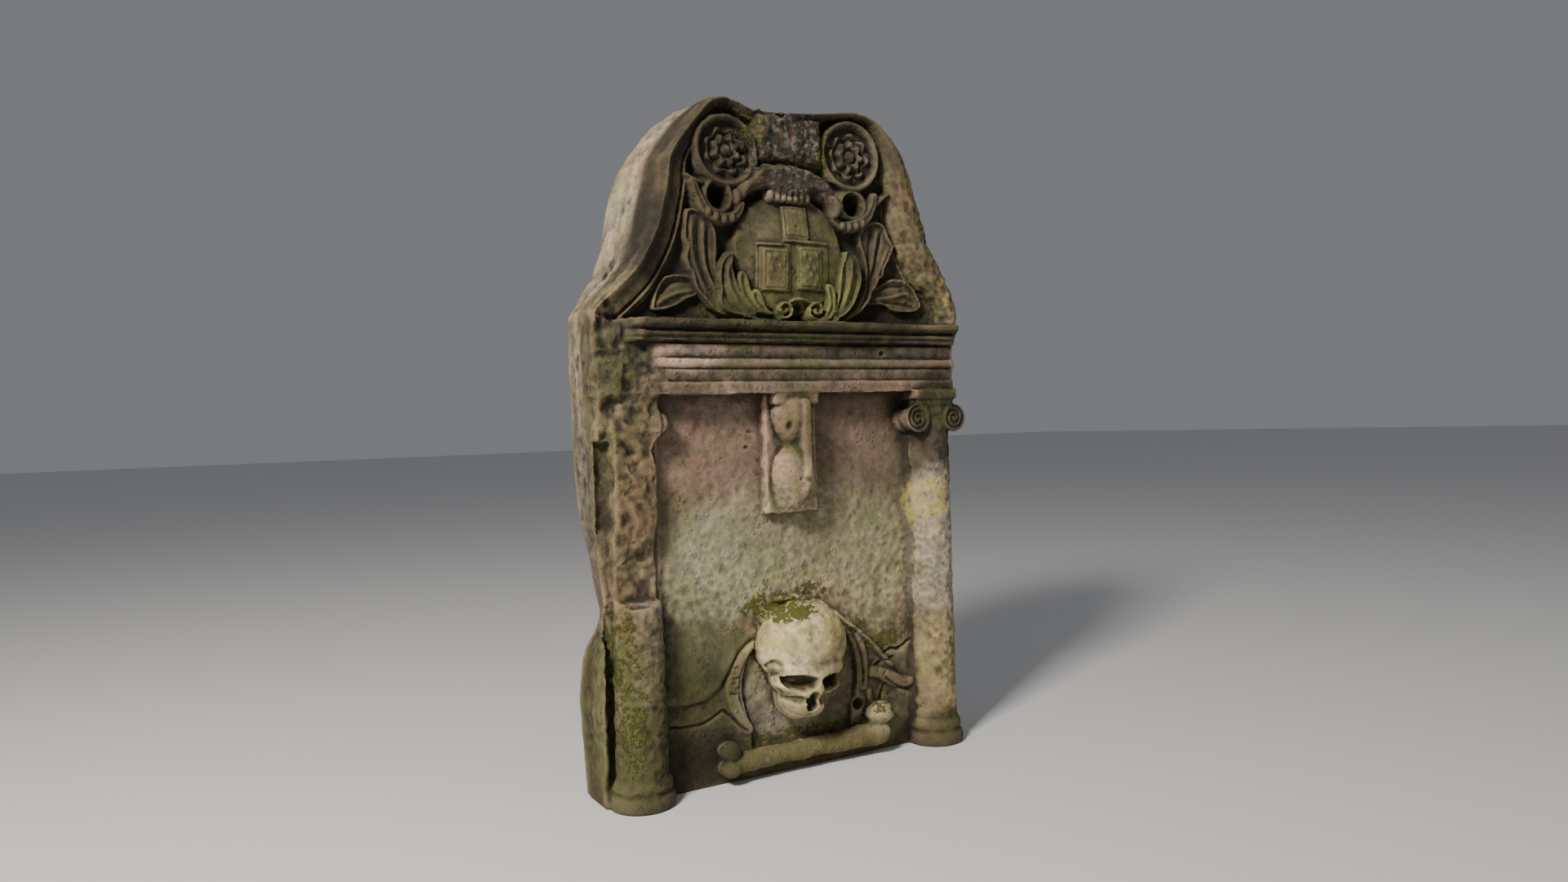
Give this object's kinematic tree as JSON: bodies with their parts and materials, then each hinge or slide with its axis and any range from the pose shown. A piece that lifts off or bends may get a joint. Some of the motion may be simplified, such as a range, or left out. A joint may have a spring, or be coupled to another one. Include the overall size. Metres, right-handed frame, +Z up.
{
  "type": "headstone",
  "caption": "Upright carved sandstone headstone with a swan-necked top, moulded entablature, half columns, hourglass, skull and bone in relief; stands on a flat cut base.",
  "frame": {"origin": "the middle of the slab's thickness and width on its flat underside, where the stone meets the ground", "axes": "+Z up the stone, the carved front faces -Y, +X to the right as one looks at the front"},
  "size_m": [0.7703, 0.1854, 1.217],
  "materials": {
    "sandstone": "carved buff sandstone, worn, pitted and stained with algae, moss, lichen and soot"
  },
  "bodies": {
    "root": {"headstone": "sandstone"}
  },
  "joints": []
}
